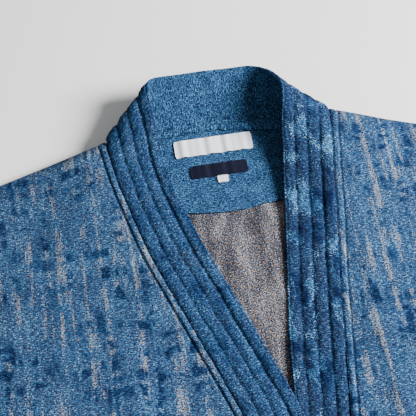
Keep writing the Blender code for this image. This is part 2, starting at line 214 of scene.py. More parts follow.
# Lots of the jacquard. Columns: name, contrast, shade, streaks, blots, size of the blots, light
# patches, place on the pattern. Then the mean shades of the two melanges, and the yarns' relief
JACQUARDS = (
    ("cotton jacquard, washed", 1.75, -0.08, 1.0, 0.28, 1.0, 0.0, 0.0),
    ("cotton jacquard, washed, band", 1.7, -0.16, 0.06, 0.12, 1.0, 0.0, 60.0),
    ("cotton jacquard, washed, dark lot", 1.7, -0.26, 0.06, 0.24, 1.7, 0.32, 90.0),
)
PLAIN_SHADE = 0.37
REVERSE_SHADE = 0.3
YARN_HEIGHT = 0.7

# Camera, read from the photograph: garment turned by 9 degrees under a steep view
CAMERA_AZIMUTH = np.radians(-9.0)
CAMERA_ELEVATION = np.radians(60.0)
CAMERA_DISTANCE = 1000.0
CAMERA_AIM = (-23.8, -87.9, 0.0)
CAMERA_LENS = 86.5
CAMERA_SENSOR = 36.0

# Light, read from the shadows: a disk at a low slant from the viewer's right, and a weak even fill
LIGHT_AIM = (0.0, -60.0, 0.0)
LIGHT_SLANT = np.radians(30.0)
LIGHT_TURN = np.radians(-9.0)
LIGHT_FAR = 2.3
LIGHT_SIZE = 1.0
LIGHT_POWER = 228.0
LIGHT_COLOUR = (1.0, 0.985, 0.97)
FILL_COLOUR = (0.97, 0.98, 1.0, 1.0)
FILL_STRENGTH = 0.33
FLOOR_SIZE = 30.0
FLOOR_Z = -0.0003

PLAN_SHIFT = np.array((0.0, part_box("back")[0][1] / MM - HEM_Y, 0.0))


def linear(code):
    """Turn an sRGB hex colour into the linear values that shaders take."""
    parts = [int(code[index:index + 2], 16) / 255.0 for index in (1, 3, 5)]
    return tuple(p / 12.92 if p <= 0.04045 else ((p + 0.055) / 1.055) ** 2.4 for p in parts)


def colour(name, description, code):
    """Make one colour setting."""
    return bpy.props.FloatVectorProperty(name=name, description=description, subtype="COLOR",
                                         size=3, min=0.0, max=1.0, default=linear(code))


def length(name, description, millimetres):
    """Make one length setting."""
    return bpy.props.FloatProperty(name=name, description=description, subtype="DISTANCE",
                                   unit="LENGTH", default=millimetres * MM, precision=5)


class HaoriSizes(bpy.types.PropertyGroup):
    """Sizes that a maker would change without a new pattern"""

    crown: length("Channel height", "Wall of the neckband at the crown of a channel", 3.4)
    groove_width: length("Groove width", "Half width of a stitched groove", 1.9)
    pucker: length("Pucker height", "Height of the gathers along the quilting", 0.55)
    stitch_pitch: length("Stitch length", "Distance from one stitch to the next", 3.2)
    thread: length("Thread", "Thickness of the sewing thread", 0.42)
    hem: length("Hem", "Depth of the turned hem and cuffs", 22.0)
    fleck: length("Melange grain", "Size of one fleck of the melange", 1.25)


class HaoriColours(bpy.types.PropertyGroup):
    """Colours of the cloths and trims"""

    indigo: colour("Indigo", "Deep dyed weft", "#07132f")
    blue: colour("Blue", "Main blue of the melange", "#22466b")
    pale: colour("Pale blue", "Light flecks", "#5b92bd")
    ecru: colour("Ecru", "Undyed warm flecks", "#a69583")
    sand: colour("Sand", "Warm flecks of the reverse", "#6b5344")
    label_white: colour("Label white", "Satin label", "#e6ebf5")
    label_navy: colour("Label navy", "Navy label", "#070b22")
    thread: colour("Thread", "Tonal sewing thread", "#1b3350")
    floor: colour("Surface", "Pale surface under the garment", "#f2f3f3")


def ease(value):
    """Turn 0 to 1 into a soft step."""
    t = np.clip(value, 0.0, 1.0)
    return t * t * (3.0 - 2.0 * t)


def bell(distance, width):
    """Give a soft bump, 1 at its middle and almost gone at two widths."""
    return np.exp(-((distance / width) ** 2))


def ripple(run, seed):
    """Give an uneven wave between about -1 and 1 along a run of wavelengths."""
    turn = 2.0 * np.pi * run
    return (0.5 * np.sin(turn + seed) + 0.32 * np.sin(0.618 * turn + 2.1 * seed)
            + 0.25 * np.sin(1.73 * turn + 0.7 * seed))


def through(rows, places):
    """Give the smooth curve through a table's rows at fractional row numbers."""
    places = np.clip(np.asarray(places, dtype=float), 0.0, len(rows) - 1.0)
    first = np.minimum(places.astype(int), len(rows) - 2)
    t = (places - first)[..., None]
    before, start = rows[np.maximum(first - 1, 0)], rows[first]
    end, after = rows[first + 1], rows[np.minimum(first + 2, len(rows) - 1)]
    leave, arrive = (end - before) / 2.0, (after - start) / 2.0
    return ((2 * t**3 - 3 * t**2 + 1) * start + (t**3 - 2 * t**2 + t) * leave
            + (3 * t**2 - 2 * t**3) * end + (t**3 - t**2) * arrive)


def run_along(line):
    """Give the distance from a line's start to each of its points."""
    steps = np.linalg.norm(np.diff(line, axis=0), axis=1)
    return np.concatenate(([0.0], np.cumsum(steps)))


def on_line(at, run, line):
    """Give a line's points at distances from its start."""
    return np.stack([np.interp(at, run, line[:, axis]) for axis in range(3)], -1)


class BandRun:
    """Distances along the neckband's middle line, from the centre back"""

    places = np.linspace(0.0, len(BAND_ROWS) - 1.0, 2401)
    middle = (through(BAND_ROWS, places)[:, SEAM] + through(BAND_ROWS, places)[:, LIP]) / 2.0
    runs = run_along(middle)
    runs = runs - np.interp(BAND_MIDDLE, places, runs)


def band_surface(places, across, lift):
    """Give points of the neckband, lifted off its inner face along the wall's normal."""
    step = 0.02
    here = through(BAND_ROWS, places)
    gap = through(BAND_ROWS, places + step) - through(BAND_ROWS, places - step)
    part = np.asarray(across)[..., None]
    along = gap[..., SEAM] * (1.0 - part) + gap[..., LIP] * part
    normal = np.cross(here[..., LIP] - here[..., SEAM], along)
    normal /= np.linalg.norm(normal, axis=-1, keepdims=True)
    bow = BOW * (1.0 - ease((np.abs(places - BAND_MIDDLE) - BOW_SECTIONS) / BOW_FADE))
    lift = np.asarray(lift) + 4.0 * across * (1.0 - across) * bow
    spot = here[..., SEAM] * (1.0 - part) + here[..., LIP] * part
    return spot + normal * lift[..., None]


def quilt_lift(runs, across):
    """Give the height of the quilted outer face over the plain inner one."""
    sizes = bpy.context.scene.haori_sizes
    crown, width, pucker = sizes.crown / MM, sizes.groove_width / MM, sizes.pucker / MM
    distance = across * BAND_WIDE
    lift = np.full_like(distance, crown)
    turn = ease((runs + BLEND_HALF) / (2.0 * BLEND_HALF))
    for line in range(CHANNELS):
        depth = GROOVES[-1][line] * (1.0 - turn) + GROOVES[1][line] * turn
        depth = depth * (1.0 + 0.3 * ripple(runs / 47.0, 1.3 * line))
        drift = 0.7 * ripple(runs / 63.0, 4.0 + line)
        off = np.abs(distance - line * BAND_WIDE / CHANNELS - (drift if line else 0.0))
        lift = lift - depth * np.exp(-((off / width) ** 1.25))
        slant = runs + (0.55 if line % 2 else -0.6) * off
        gather = ripple(slant / 7.5, 2.0 * line) + 0.6 * ripple(slant / 3.9, 5.0 + line)
        lift = lift + 0.75 * pucker * gather * bell(off, GATHER_REACH) * (off > 0.01)
    within = (across * CHANNELS) % 1.0
    lift = lift - 0.45 * (2.0 * within - 1.0) ** 2
    patch = ease((ripple(runs / 38.0, 9.0) + ripple(runs / 23.0, 1.0)) * 1.2)
    lift = lift + pucker * patch * ripple(runs / 11.0 + distance / 17.0, 3.0)
    lift = lift + 0.5 * pucker * ripple(runs / 6.2 - distance / 8.0, 6.0) * (1.0 - 0.5 * patch)
    lift = lift - 0.55 * bell(distance - (BAND_WIDE - LIP_STITCH), 0.75)
    edge = np.clip((BAND_WIDE - distance) / 1.6, 0.0, 1.0)
    return np.maximum(lift, LEAST_WALL) * (0.45 + 0.55 * np.sqrt(1.0 - (1.0 - edge) ** 2))


def shoulder_y(x):
    """Give the shoulder line's place at a distance from the middle."""
    top = np.where(np.asarray(x) > 0, SHOULDER_TOP_LEFT, SHOULDER_TOP_RIGHT)
    return top + (SHOULDER_END_Y - top) * (np.abs(x) - NECK_HALF) / (BODY_HALF - NECK_HALF)


def rise(x):
    """Give the height of the back panel's upper edge."""
    return np.interp(np.abs(x), RISE_X, RISE_Z)


def back_bottom(x, depth):
    """Give the back panel's underside: flat but for its upper edge."""
    return rise(x) * np.clip(1.0 - depth / RISE_DEPTH, 0.0, 1.0) ** 2


def swell(x, y, ridges=RIDGES):
    """Give the height of the soft ridges at points of a layer."""
    total = np.zeros(np.broadcast(x, y).shape)
    for start, end, height, half_width in ridges:
        run = (end[0] - start[0], end[1] - start[1])
        square = run[0] ** 2 + run[1] ** 2
        along = np.clip(((x - start[0]) * run[0] + (y - start[1]) * run[1]) / square, -0.25, 1.25)
        side = np.hypot(x - start[0] - along * run[0], y - start[1] - along * run[1])
        taper = ease((along + 0.25) / 0.4) * ease((1.25 - along) / 0.4)
        total = total + height * taper * (1.0 - ease(side / (1.6 * half_width)))
    return total


def front_base(x, y):
    """Give the lowest underside of the fronts, higher where they cover the yoke facing."""
    over_yoke = ease((y + YOKE_DEPTH + 32.0) / 22.0) * (1.0 - ease((np.abs(x) - YOKE_HALF) / 12.0))
    return BACK_WALL + LAYER_GAP + over_yoke * (YOKE_WALL + LAYER_GAP)


def handling(x, y, seed):
    """Give the slight unevenness that handled cloth has."""
    return (0.32 * ripple(x / 47.0 + y / 130.0, seed) + 0.22 * ripple(x / 21.0 - y / 64.0, seed + 2.0)
            + 0.14 * ripple(y / 29.0 + x / 90.0, seed + 4.0))


class FrontRun:
    """The neckband's seam along one front, by depth below the shoulder"""

    def __init__(self, side):
        last = len(BAND_ROWS) - 1 if side > 0 else 0
        places = np.linspace(BAND_MIDDLE + side * (BACK_ROWS + 0.35), last, 900)
        self.side = side
        self.seam = through(BAND_ROWS, places)[:, SEAM]
        self.depth = run_along(self.seam)

    def ends(self, depth):
        """Give the seam's point and the side edge's place at a depth."""
        seam = on_line(depth, self.depth, self.seam)
        top = SHOULDER_END_Y - 0.4
        return seam, top + (HEM_Y - top) * depth / self.depth[-1]

    def surface(self, depth, distance, lift):
        """Give points of the front at a depth and a distance from the seam."""
        seam, edge_y = self.ends(depth)
        clear = NECK_CLEARANCE * (1.0 - ease(depth / NECK_CLEARANCE_REACH))
        start = seam[..., 0] + self.side * (SEAM_GAP + clear)
        run = np.abs(self.side * BODY_HALF - start)
        distance = np.minimum(distance, run)
        x = start + self.side * distance
        y = seam[..., 1] + (edge_y - seam[..., 1]) * distance / run
        flat = front_base(x, y) + swell(x, y) * ease(distance / 40.0) * ease(depth / 60.0)
        flat = flat + 0.9 * (1.0 + handling(x, y, 1.0 + self.side)) * ease(distance / 20.0) - 0.5
        falling = np.maximum(seam[..., 2] - flat, 0.0) * (1.0 - ease(distance / SEAM_FALL))
        fold = np.interp(np.abs(x), RIDGE_X, RIDGE_Z) - flat
        height = flat + np.maximum(falling, fold * (1.0 - ease(depth / RIDGE_REACH)))
        shoulder = rise(x) + BACK_WALL + YOKE_WALL + SEAM_GAP + LAYER_GAP
        curl = np.sqrt(1.0 - (1.0 - np.minimum(depth / RIDGE_ROUND, 1.0)) ** 2)
        height = shoulder + np.maximum(height - shoulder, 0.0) * np.maximum(curl, 0.08)
        return np.stack((x, y, height + lift), -1), run


def strip_lift(distance, depth):
    """Give the felled strip's rounded ridge and its stitched groove beside the neckband."""
    ridge = STRIP_RISE * (1.0 - ease((distance - STRIP_WIDTH + 1.6) / 1.6))
    crease = 0.9 * bell(distance, 1.2)
    groove = 0.9 * bell(distance - STRIP_WIDTH, 1.4)
    gather = ripple(depth / 6.5, 3.0) * bell(distance - STRIP_WIDTH, 5.0)
    return ridge - crease - groove + 0.2 * gather


def select_none():
    """Leave object mode free of any selection."""
    if bpy.context.object and bpy.context.object.mode != "OBJECT":
        bpy.ops.object.mode_set(mode="OBJECT")
    bpy.ops.object.select_all(action="DESELECT")


def edit_merged(piece):
    """Go into edit mode on one piece, with all of it selected and its meeting edges merged."""
    select_none()
    piece.select_set(True)
    bpy.context.view_layer.objects.active = piece
    bpy.ops.object.mode_set(mode="EDIT")
    bpy.ops.mesh.select_all(action="SELECT")
    bpy.ops.mesh.remove_doubles(threshold=0.00001)


def in_metres(points):
    """Turn points in pattern millimetres into metres in the scene."""
    return (np.asarray(points) + PLAN_SHIFT) * MM


def shape_mesh(piece, points):
    """Move a mesh's corners to points given in pattern millimetres."""
    piece.data.vertices.foreach_set("co", in_metres(points).astype(np.float32).ravel())
    piece.data.update()


def corner_parts(piece):
    """Give the primitive's corners: parts across, parts along, and if on the wall's upper side."""
    flat = np.empty(len(piece.data.vertices) * 3, dtype=np.float32)
    piece.data.vertices.foreach_get("co", flat)
    parts = flat.reshape(-1, 3).astype(float)
    return parts[:, 0] + 0.5, parts[:, 1] + 0.5, parts[:, 2] > -0.5


def set_cloth_map(piece, flat):
    """Keep each corner's place in the flat cut, in metres, as the piece's cloth map."""
    layer = piece.data.uv_layers.get("cloth") or piece.data.uv_layers.new(name="cloth")
    corners = np.empty(len(piece.data.loops), dtype=np.int32)
    piece.data.loops.foreach_get("vertex_index", corners)
    layer.data.foreach_set("uv", (flat[corners] * MM).astype(np.float32).ravel())


def close_piece(piece, angle=50.0):
    """Merge the piece's meeting edges, turn its faces outwards and shade it smooth."""
    edit_merged(piece)
    bpy.ops.mesh.normals_make_consistent(inside=False)
    bpy.ops.object.mode_set(mode="OBJECT")
    bpy.ops.object.shade_smooth_by_angle(angle=np.radians(angle))
    select_none()


def add_grid(name, columns, rows, walled=True):
    """Add a unit grid and, for a wall, extrude it one unit down in edit mode."""
    select_none()
    bpy.ops.mesh.primitive_grid_add(x_subdivisions=columns, y_subdivisions=rows, size=1.0)
    piece = bpy.context.object
    piece.name = name
    piece.data.name = name
    for layer in list(piece.data.uv_layers):
        piece.data.uv_layers.remove(layer)
    if walled:
        bpy.ops.object.mode_set(mode="EDIT")
        bpy.ops.mesh.select_all(action="SELECT")
        bpy.ops.mesh.extrude_region_move(TRANSFORM_OT_translate={"value": (0.0, 0.0, -1.0)})
        bpy.ops.object.mode_set(mode="OBJECT")
    return piece


def finish_cloth(piece, node, material):
    """Give a cloth piece its material and its place in the frame."""
    piece.data.materials.clear()
    piece.data.materials.append(bpy.data.materials[material])
    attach(piece, "root")
    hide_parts(*node.split())


def lay_cloth(piece, points, flat, node, material):
    """Lay a cloth piece on the garment's form, with its cloth map, and finish it."""
    shape_mesh(piece, points)
    set_cloth_map(piece, flat)
    close_piece(piece)
    finish_cloth(piece, node, material)


def add_node(tree, kind, sockets, stops=(), **settings):
    """Add a shader node: a socket takes a value or another node's output, and a ramp its stops."""
    node = tree.nodes.new(kind)
    for key, value in settings.items():
        setattr(node, key, value)
    for name, value in sockets.items():
        if isinstance(value, bpy.types.NodeSocket):
            tree.links.new(value, node.inputs[name])
        else:
            node.inputs[name].default_value = value
    for index, (place, shade) in enumerate(stops):
        elements = node.color_ramp.elements
        stop = elements[index] if index < 2 else elements.new(place)
        stop.position, stop.color = place, (*shade, 1.0)
    return node.outputs


def new_material(name, roughness, sheen, specular=0.04):
    """Start a material as dry cotton: rough, with a faint nap, and no gloss."""
    material = bpy.data.materials.new(name)
    material.use_nodes = True
    shader = material.node_tree.nodes["Principled BSDF"]
    for socket, value in (("Roughness", roughness), ("Specular IOR Level", specular),
                          ("Sheen Weight", sheen), ("Sheen Roughness", 0.5)):
        shader.inputs[socket].default_value = value
    return material.node_tree, shader


def lay_patterns(tree, shift, rows, middle=0.5):
    """Lay noise patterns on the cloth map and add them up by weight about a middle value.
    Columns: name, size across and along in millimetres, detail, roughness, weight."""
    cloth = add_node(tree, "ShaderNodeUVMap", {}, uv_map="cloth")[0]
    found = {}
    value = middle - 0.5 * sum(row[-1] for row in rows)
    for name, across, along, detail, roughness, weight in rows:
        shift += 5.0
        spots = add_node(tree, "ShaderNodeMapping", {
            "Vector": cloth, "Location": (shift, 0.7 * shift, 0.0),
            "Scale": (1.0 / (across * MM), 1.0 / (along * MM), 1.0)})[0]
        found[name] = add_node(tree, "ShaderNodeTexNoise", {
            "Vector": spots, "Scale": 1.0, "Detail": detail, "Roughness": roughness},
            noise_dimensions="2D")[0]
        if weight:
            value = add_node(tree, "ShaderNodeMath", {0: found[name], 1: weight, 2: value},
                             operation="MULTIPLY_ADD")[0]
    return found, value


def finish_weave(tree, shader, base, yarns):
    """Colour a woven surface and raise its yarns, as coarse as a fleck, since single threads are
    too fine to show."""
    tree.links.new(base, shader.inputs["Base Color"])
    raised = add_node(tree, "ShaderNodeBump", {"Strength": 0.55, "Distance": YARN_HEIGHT * MM,
                                               "Height": yarns})[0]
    tree.links.new(raised, shader.inputs["Normal"])


def jacquard(name, contrast, bias, streaks, blots, size, light, shift):
    """Woven cotton jacquard, piece-washed: a salt-and-pepper of indigo, blue and ecru yarns with
    broken warp streaks and small indigo blocks, which reads as worn indigo cloth. Single yarns are
    too fine to show, so a fleck is drawn a little over 1 mm wide."""
    sizes, colours = bpy.context.scene.haori_sizes, bpy.context.scene.haori_colours
    grain = sizes.fleck / MM
    tree, shader = new_material(name, 0.92, 0.02)
    found, value = lay_patterns(tree, shift, (
        ("fleck", 1.2 * grain, 1.0 * grain, 2.0, 0.8, contrast),
        ("yarn", 3.2 * grain, 0.8 * grain, 1.0, 0.6, 0.6 * contrast),
        ("warm", 1.1 * grain, 1.2 * grain, 1.0, 0.6, 0.0),
        ("cloud", 20.0, 30.0, 3.0, 0.6, 0.35),
        ("streak", 8.0, 130.0, 2.0, 0.55, 0.0),
        ("broken", 40.0, 24.0, 2.0, 0.6, 0.0),
        ("warp", 9.0 * size, 44.0 * size, 2.0, 0.5, 0.0),
        ("weft", 36.0 * size, 11.0 * size, 2.0, 0.5, 0.0),
        ("zone", 105.0, 80.0, 2.0, 0.5, 0.0),
        ("light", 13.0 * size, 20.0 * size, 2.0, 0.5, 0.0)), 0.5 + bias)
    ragged = 0.4
    marks = {}
    for mark, low, high in (("streak", 0.54, 0.66), ("broken", 0.4, 0.52), ("warp", 0.5, 0.6),
                            ("weft", 0.5, 0.6), ("zone", 0.4, 0.55), ("light", 0.56, 0.66)):
        edge = add_node(tree, "ShaderNodeMath", {0: found["fleck"], 1: ragged, 2: found[mark]},
                        operation="MULTIPLY_ADD")[0]
        marks[mark] = add_node(tree, "ShaderNodeMapRange", {
            "Value": edge, "From Min": low + 0.5 * ragged, "From Max": high + 0.5 * ragged},
            interpolation_type="SMOOTHSTEP")[0]
    block = add_node(tree, "ShaderNodeMath", {0: marks["warp"], 1: marks["weft"]}, operation="MULTIPLY")[0]
    block = add_node(tree, "ShaderNodeMath", {0: block, 1: marks["zone"]}, operation="MULTIPLY")[0]
    line = add_node(tree, "ShaderNodeMath", {0: marks["streak"], 1: marks["broken"]},
                    operation="MULTIPLY")[0]
    for source, weight in ((block, -blots), (marks["light"], light), (line, 0.1 * streaks)):
        value = add_node(tree, "ShaderNodeMath", {0: source, 1: weight, 2: value},
                         operation="MULTIPLY_ADD")[0]
    dyed = add_node(tree, "ShaderNodeValToRGB", {"Fac": value}, stops=(
        (0.1, tuple(colours.indigo)), (0.3, linear("#11294b")), (0.5, tuple(colours.blue)),
        (0.68, linear("#356791")), (0.86, tuple(colours.pale)), (1.0, linear("#9cc2dc"))))[0]
    worn = add_node(tree, "ShaderNodeMath", {0: line, 1: 0.75 * streaks, 2: 0.03 + 0.05 * streaks},
                    operation="MULTIPLY_ADD")[0]
    worn = add_node(tree, "ShaderNodeMath", {0: worn, 1: block}, operation="SUBTRACT", use_clamp=True)[0]
    ecru = add_node(tree, "ShaderNodeMapRange", {"Value": found["warm"], "From Min": 0.5,
                                                 "From Max": 0.58, "To Max": 1.0})[0]
    ecru = add_node(tree, "ShaderNodeMath", {0: ecru, 1: worn}, operation="MULTIPLY")[0]
    base = add_node(tree, "ShaderNodeMix", {0: ecru, 6: dyed, 7: (*colours.ecru, 1.0)},
                    data_type="RGBA")[2]
    finish_weave(tree, shader, base, found["fleck"])


def plain_melange(name):
    """Woven cotton, plain mid-blue melange of the inner yoke and the neckband's inside: even,
    finely speckled and without streaks."""
    sizes, colours = bpy.context.scene.haori_sizes, bpy.context.scene.haori_colours
    grain = sizes.fleck / MM
    tree, shader = new_material(name, 0.93, 0.02)
    found, value = lay_patterns(tree, 3.0, (
        ("fleck", 1.1 * grain, grain, 2.0, 0.8, 2.3),
        ("yarn", 3.0 * grain, 0.8 * grain, 1.0, 0.6, 1.0),
        ("cloud", 18.0, 12.0, 3.0, 0.6, 0.4)), PLAIN_SHADE)
    dyed = add_node(tree, "ShaderNodeValToRGB", {"Fac": value}, stops=(
        (0.05, tuple(colours.indigo)), (0.3, linear("#1b3250")), (0.5, linear("#2a4d71")),
        (0.72, linear("#3f6f9c")), (0.95, tuple(colours.pale))))[0]
    finish_weave(tree, shader, dyed, found["fleck"])


def reverse_melange(name):
    """The jacquard's reverse on the back's inside: ecru and sand floats with grey-blue flecks, so
    it reads as warm beige melange. Its long cloud pattern is partly the cloth's own uneven tone and
    partly painted shade of soft lengthwise folds."""
    sizes, colours = bpy.context.scene.haori_sizes, bpy.context.scene.haori_colours
    grain = sizes.fleck / MM
    tree, shader = new_material(name, 0.93, 0.02)
    found, value = lay_patterns(tree, 17.0, (
        ("fleck", 1.1 * grain, grain, 2.0, 0.82, 3.0),
        ("tint", 1.5 * grain, 1.2 * grain, 1.0, 0.6, 0.0),
        # Long cloud: the cloth's own uneven tone, and partly painted shade of soft lengthwise folds
        ("cloud", 13.0, 52.0, 3.0, 0.6, 1.0)), REVERSE_SHADE)
    cool = add_node(tree, "ShaderNodeValToRGB", {"Fac": value}, stops=(
        (0.1, linear("#16202f")), (0.4, linear("#36485f")), (0.65, linear("#60758d")),
        (0.95, linear("#a2abb4"))))[0]
    warm = add_node(tree, "ShaderNodeValToRGB", {"Fac": value}, stops=(
        (0.1, linear("#2b2422")), (0.4, tuple(colours.sand)), (0.65, linear("#988271")),
        (0.95, linear("#d0c0b2"))))[0]
    side = add_node(tree, "ShaderNodeMapRange", {"Value": found["tint"], "From Min": 0.47,
                                                 "From Max": 0.58})[0]
    base = add_node(tree, "ShaderNodeMix", {0: side, 6: cool, 7: warm}, data_type="RGBA")[2]
    finish_weave(tree, shader, base, found["fleck"])


def label_satin(name, shade, roughness):
    """Woven polyester satin label, loom-cut and folded: smooth, with a slight sheen along the
    threads."""
    tree, shader = new_material(name, roughness, 0.02, 0.16)
    threads = lay_patterns(tree, 2.0, (("threads", 6.0, 0.7, 2.0, 0.6, 0.0),))[0]["threads"]
    base = add_node(tree, "ShaderNodeValToRGB", {"Fac": threads}, stops=(
        (0.2, tuple(0.86 * part for part in shade)), (0.8, shade)))[0]
    finish_weave(tree, shader, base, threads)


def mottled(name, shade, roughness, sheen, scale, detail, low, high):
    """Mix a matt surface whose shade drifts between two shares of its colour."""
    tree, shader = new_material(name, roughness, sheen)
    places = add_node(tree, "ShaderNodeTexCoord", {})["Object"]
    noise = add_node(tree, "ShaderNodeTexNoise", {"Vector": places, "Scale": scale, "Detail": detail})[0]
    base = add_node(tree, "ShaderNodeValToRGB", {"Fac": noise}, stops=(
        (0.3, tuple(low * part for part in shade)), (0.7, tuple(high * part for part in shade))))[0]
    tree.links.new(base, shader.inputs["Base Color"])


def back_top_edge(x):
    """Give the back panel's upper edge: the neck seam, then the shoulder line."""
    places = BAND_MIDDLE + np.linspace(-BACK_ROWS, BACK_ROWS, 161)
    seam = through(BAND_ROWS, places)
    neck = np.interp(x, seam[:, 0], seam[:, 1])
    return np.where(np.abs(x) < NECK_HALF - 0.5, neck, shoulder_y(x))


def tuck(x):
    """Give how far the back runs on under the neckband."""
    return TUCK * (1.0 - ease((np.abs(x) - TUCK_HALF) / TUCK_FADE))


def yoke_low(x):
    """Give the yoke facing's lower edge."""
    low = -YOKE_DEPTH + YOKE_SIDE_LIFT * ease(np.abs(x - YOKE_MIDDLE_X) / 65.0)
    return low + 0.5 * ripple(x / 26.0, 1.0)


def yoke_lift(x, y):
    """Give the yoke facing's soft form over its flat wall, with its turned and stitched edge."""
    from_edge = y - yoke_low(x)
    fold = 0.5 * bell(from_edge, 5.0)
    stitch = 0.35 * bell(from_edge - YOKE_STITCH, 1.0)
    soft = 0.28 * (1.0 + ripple(x / 24.0 + y / 60.0, 4.0)) + 0.12 * ripple(y / 9.0, 1.0)
    return soft + fold - stitch


def stitch_mesh(name, runs):
    """Lay one small bead for each stitch of the given runs of points, joined in one mesh."""
    sizes = bpy.context.scene.haori_sizes
    select_none()
    bpy.ops.mesh.primitive_uv_sphere_add(segments=6, ring_count=4, radius=0.5)
    bead = bpy.context.object
    bead.name = name
    shape = np.array([tuple(corner.co) for corner in bead.data.vertices])
    faces = [tuple(face.vertices) for face in bead.data.polygons]
    pitch, thick = sizes.stitch_pitch / MM, sizes.thread / MM
    points, all_faces = [], []
    for line, ups in runs:
        run = run_along(line)
        for start in np.arange(0.5 * pitch, run[-1] - pitch, pitch):
            ends = [on_line(start + reach, run, line) for reach in (0.0, 0.74 * pitch)]
            up = on_line(start, run, ups)
            along = ends[1] - ends[0]
            reach = np.linalg.norm(along)
            along /= reach
            side = np.cross(up, along)
            side /= np.linalg.norm(side)
            up = np.cross(along, side)
            centre = (ends[0] + ends[1]) / 2.0
            spots = (centre + shape[:, :1] * side * thick + shape[:, 1:2] * up * thick * 0.8
                     + shape[:, 2:] * along * reach)
            base = len(points) * len(shape)
            points.append(spots)
            all_faces += [tuple(base + index for index in face) for face in faces]
    mesh = bpy.data.meshes.new(name)
    mesh.from_pydata(in_metres(np.concatenate(points)).tolist(), [], all_faces)
    old = bead.data
    bead.data = mesh
    bpy.data.meshes.remove(old)
    bead.data.shade_smooth()
    bead.data.materials.append(bpy.data.materials["cotton thread, dyed to match"])
    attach(bead, "root")
    select_none()


class HAORI_OT_cloths(bpy.types.Operator):
    """Mix the cloth, label, thread and surface materials"""

    bl_idname = "haori.cloths"
    bl_label = "Cloths"

    def execute(self, context):
        colours = context.scene.haori_colours
        for lot in JACQUARDS:
            jacquard(*lot)
        plain_melange("cotton melange, plain")
        reverse_melange("cotton jacquard, reverse")
        label_satin("satin label, white", tuple(colours.label_white), 0.5)
        label_satin("satin label, navy", tuple(colours.label_navy), 0.55)
        # Spun cotton sewing thread, dyed to match: matt, a shade darker where it sinks in
        mottled("cotton thread, dyed to match", colours.thread, roughness=0.8, sheen=0.1,
                scale=700.0, detail=1.0, low=0.7, high=1.5)
        # Matt seamless paper under soft light: pale grey and almost even
        mottled("seamless paper, matt", colours.floor, roughness=0.9, sheen=0.0,
                scale=3.0, detail=2.0, low=0.985, high=1.0)
        return {"FINISHED"}


class HAORI_OT_back(bpy.types.Operator):
    """Lay the back panel, face down, with its inside showing in the neck opening"""

    bl_idname = "haori.back"
    bl_label = "Back panel"

    def execute(self, context):
        piece = add_grid("back_panel", 150, 170)
        across, along, upper = corner_parts(piece)
        x = (across - 0.5) * 2.0 * BODY_HALF
        top = back_top_edge(x) + tuck(x)
        y = top - 0.4 + (HEM_Y - top + 0.4) * (1.0 - along) ** 1.25
        bottom = back_bottom(x, top - y)
        inside = swell(x, y, BACK_RIDGES) + 0.55 * (1.0 + ripple(x / 14.0 + y / 80.0, 2.0))
        inside = inside * ease((-y - 92.0) / 10.0) * ease((y + 262.0) / 30.0)
        height = np.where(upper, bottom + BACK_WALL + inside, bottom)
        points = np.stack((x, y, height), -1)
        lay_cloth(piece, points, points[:, :2], "back", "cotton jacquard, reverse")
        piece.data.materials.append(bpy.data.materials["cotton jacquard, washed"])
        for face in piece.data.polygons:
            face.material_index = 1 if face.normal.z < 0.2 else 0
        return {"FINISHED"}


class HAORI_OT_yoke(bpy.types.Operator):
    """Lay the yoke facing on the inside of the back"""

    bl_idname = "haori.yoke"
    bl_label = "Yoke facing"

    def execute(self, context):
        piece = add_grid("yoke_facing", 220, 44)
        across, along, upper = corner_parts(piece)
        x = (across - 0.5) * 2.0 * YOKE_HALF
        top = back_top_edge(x) + tuck(x) - 0.5
        low = yoke_low(x)
        y = low + (top - low) * along
        bottom = back_bottom(x, top - y) + BACK_WALL + SEAM_GAP
        height = np.where(upper, bottom + YOKE_WALL + yoke_lift(x, y), bottom)
        points = np.stack((x, y, height), -1)
        lay_cloth(piece, points, points[:, :2], "back_yoke", "cotton melange, plain")
        return {"FINISHED"}


class HAORI_OT_fronts(bpy.types.Operator):
    """Lay the two fronts, which come down from the neckband onto the back"""

    bl_idname = "haori.fronts"
    bl_label = "Fronts"

    def execute(self, context):
        for name, node, side, area in (("right_front", "front_right", -1, 0.182),
                                       ("left_front", "front_left", 1, 0.160)):
            self.lay(context, name, node, side, area)
        return {"FINISHED"}

    def lay(self, context, name, node, side, area):
        """Make one front as a wall with its felled strip along the neckband."""
        run = FrontRun(side)
        piece = add_grid(name, 92, 200)
        across, along, upper = corner_parts(piece)
        fine, fine_width = 0.3, 14.0
        depth = run.depth[-1] * (1.0 - along) ** 1.35
        near = fine_width * np.minimum(across / fine, 1.0)
        far = np.clip((across - fine) / (1.0 - fine), 0.0, 1.0)
        _, width = run.surface(depth, near, 0.0)
        distance = near + (width - fine_width) * far
        hem = context.scene.haori_sizes.hem / MM
        hem_groove = HEM_GROOVE * bell(run.depth[-1] - depth - hem, 1.1)
        shoulder_stitch = STITCH_GROOVE * bell(depth - SHOULDER_STITCH, 1.0)
        arm_stitch = STITCH_GROOVE * bell(width - distance - ARM_STITCH, 1.0)
        arm_stitch = arm_stitch * (depth < ARM_STITCH_DEPTH)
        fine_form = strip_lift(distance, depth) - hem_groove - shoulder_stitch - arm_stitch
        lift = np.where(upper, FRONT_WALL + fine_form, 0.0)
        points, _ = run.surface(depth, distance, lift)
        flat = points[:, :2] + np.array((side * FRONT_MAP, 0.0))
        lay_cloth(piece, points, flat, node, "cotton jacquard, washed")


